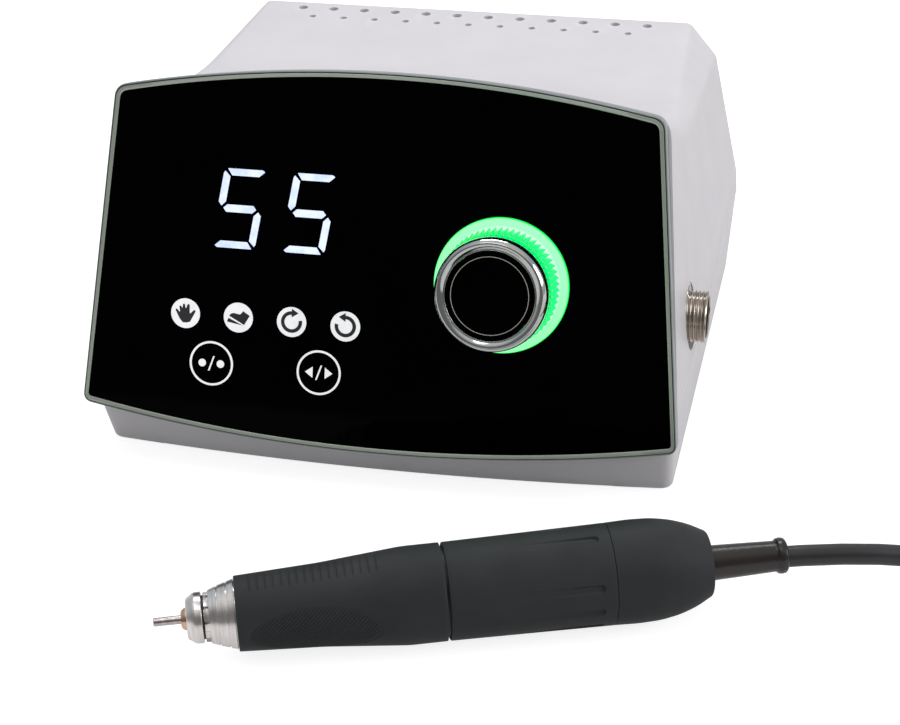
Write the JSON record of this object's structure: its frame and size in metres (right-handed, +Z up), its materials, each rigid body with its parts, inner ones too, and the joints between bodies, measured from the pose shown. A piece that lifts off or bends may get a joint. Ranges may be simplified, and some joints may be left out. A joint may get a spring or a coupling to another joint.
{
  "type": "dental lab micromotor",
  "caption": "Bench control unit with a leaning lit control panel and a turning knob, and a corded motor handpiece with a chuck lying in front of it.",
  "frame": {"origin": "on the bench, under the middle of the box around the unit and the handpiece, leaving out the cord, its coil and its plug", "axes": "+Z up, the control panel faces -Y, the handpiece socket is on the +X side"},
  "size_m": [0.3499, 0.2692, 0.1234],
  "materials": {
    "case_plastic": "fine satin",
    "rubber_black": "matte",
    "steel": "turned",
    "panel_gloss": "polished",
    "chrome_trim": "polished",
    "black_plastic": "fine satin",
    "board": "satin",
    "white_light": "diffusing",
    "green_light": "diffusing",
    "nickel": "plated",
    "brass": "plated",
    "plate_paint": "satin",
    "fuse_glass": "clear",
    "aluminium": "extruded",
    "core_wrap": "film",
    "magnet_iron": "ground",
    "grip_black": "soft satin",
    "cord_black": "satin"
  },
  "bodies": {
    "unit": {"lower_shell": "case_plastic", "upper_shell": "case_plastic", "foot_pads": "rubber_black", "case_screws": "steel", "display_screws": "steel", "board_screws": "steel", "plate_screws": "steel", "transformer_washer": "steel", "transformer_bolt": "steel", "front_glass": "panel_gloss", "front_bezel": "chrome_trim", "panel_carrier": "black_plastic", "display_module": "black_plastic", "encoder_body": "black_plastic", "socket_insert": "black_plastic", "power_inlet": "black_plastic", "rocker_frame": "black_plastic", "foot_jack": "black_plastic", "display_board": "board", "main_board": "board", "icon_lights": "white_light", "key_rings": "white_light", "halo_ring": "green_light", "handpiece_socket": "nickel", "socket_nut": "nickel", "jack_nut": "nickel", "socket_pins": "brass", "inlet_blades": "brass", "rear_plate": "plate_paint", "heat_sink": "aluminium", "transformer": "core_wrap"},
    "knob_switch": {"encoder_plunger": "black_plastic"},
    "knob": {"encoder_shaft": "steel", "knob_skirt": "green_light", "knob_rim": "chrome_trim", "knob_cap": "panel_gloss"},
    "power_switch": {"rocker": "black_plastic"},
    "fuse_holder": {"fuse_drawer": "black_plastic", "fuse": "fuse_glass"},
    "handpiece": {"steel_housing": "steel", "nose_ring": "steel", "bearings": "steel", "stator": "magnet_iron", "motor_sleeve": "grip_black", "rear_cap": "grip_black", "strain_relief": "rubber_black", "cord_lead": "cord_black", "cord_coil": "cord_black", "cord_tail": "cord_black", "cord_tie": "cord_black", "plug_shell": "nickel", "plug_insert": "black_plastic"},
    "grip": {"grip_sleeve": "grip_black", "cam_ring": "steel"},
    "motor_spindle": {"spindle": "steel", "rotor_magnet": "magnet_iron", "chuck_spring": "steel"},
    "chuck": {"collet": "steel"},
    "test_shank": {"shank": "steel"},
    "plug_coupling": {"plug_ring": "nickel"}
  },
  "joints": [
    {"name": "knob_press", "type": "slide", "parent": "unit", "child": "knob_switch", "axis": [0, 0.9494, -0.314], "range_m": [0, 0.0006], "stiffness_N_per_m": 3000, "springref_m": -0.001},
    {"name": "knob_turn", "type": "hinge", "parent": "knob_switch", "child": "knob", "pos_m": [0.02022, -0.02354, 0.06605], "axis": [0, -0.9494, 0.314], "continuous": true},
    {"name": "power_rocker", "type": "hinge", "parent": "unit", "child": "power_switch", "pos_m": [-0.02038, 0.12808, 0.056], "axis": [-1, 0, 0], "range_deg": [0, 16]},
    {"name": "fuse_slide", "type": "slide", "parent": "unit", "child": "fuse_holder", "axis": [0, 1, 0], "range_m": [0, 0.013]},
    {"name": "handpiece_lift", "type": "slide", "parent": "unit", "child": "handpiece", "axis": [0, 0, 1], "range_m": [0, 0.08]},
    {"name": "grip_turn", "type": "hinge", "parent": "handpiece", "child": "grip", "pos_m": [-0.00909, -0.11533, 0.01333], "axis": [0.9437, 0.3305, 0.0141], "range_deg": [0, 40]},
    {"name": "spindle_spin", "type": "hinge", "parent": "handpiece", "child": "motor_spindle", "pos_m": [0.01922, -0.10542, 0.01375], "axis": [0.9437, 0.3305, 0.0141], "continuous": true},
    {"name": "chuck_slide", "type": "slide", "parent": "motor_spindle", "child": "chuck", "axis": [-0.9437, -0.3305, -0.0141], "range_m": [0, 0.0008], "deforming": ["chuck_spring"]},
    {"name": "shank_pull", "type": "slide", "parent": "chuck", "child": "test_shank", "axis": [-0.9437, -0.3305, -0.0141], "range_m": [0, 0.028]},
    {"name": "plug_ring_turn", "type": "hinge", "parent": "handpiece", "child": "plug_coupling", "pos_m": [0.22883, 0.12251, 0.00994], "axis": [0.0348, -0.996, -0.0821], "continuous": true}
  ],
  "couplings": [
    {"joint": "chuck_slide", "follows": "grip_turn", "m_per_rad": 0.001145}
  ]
}
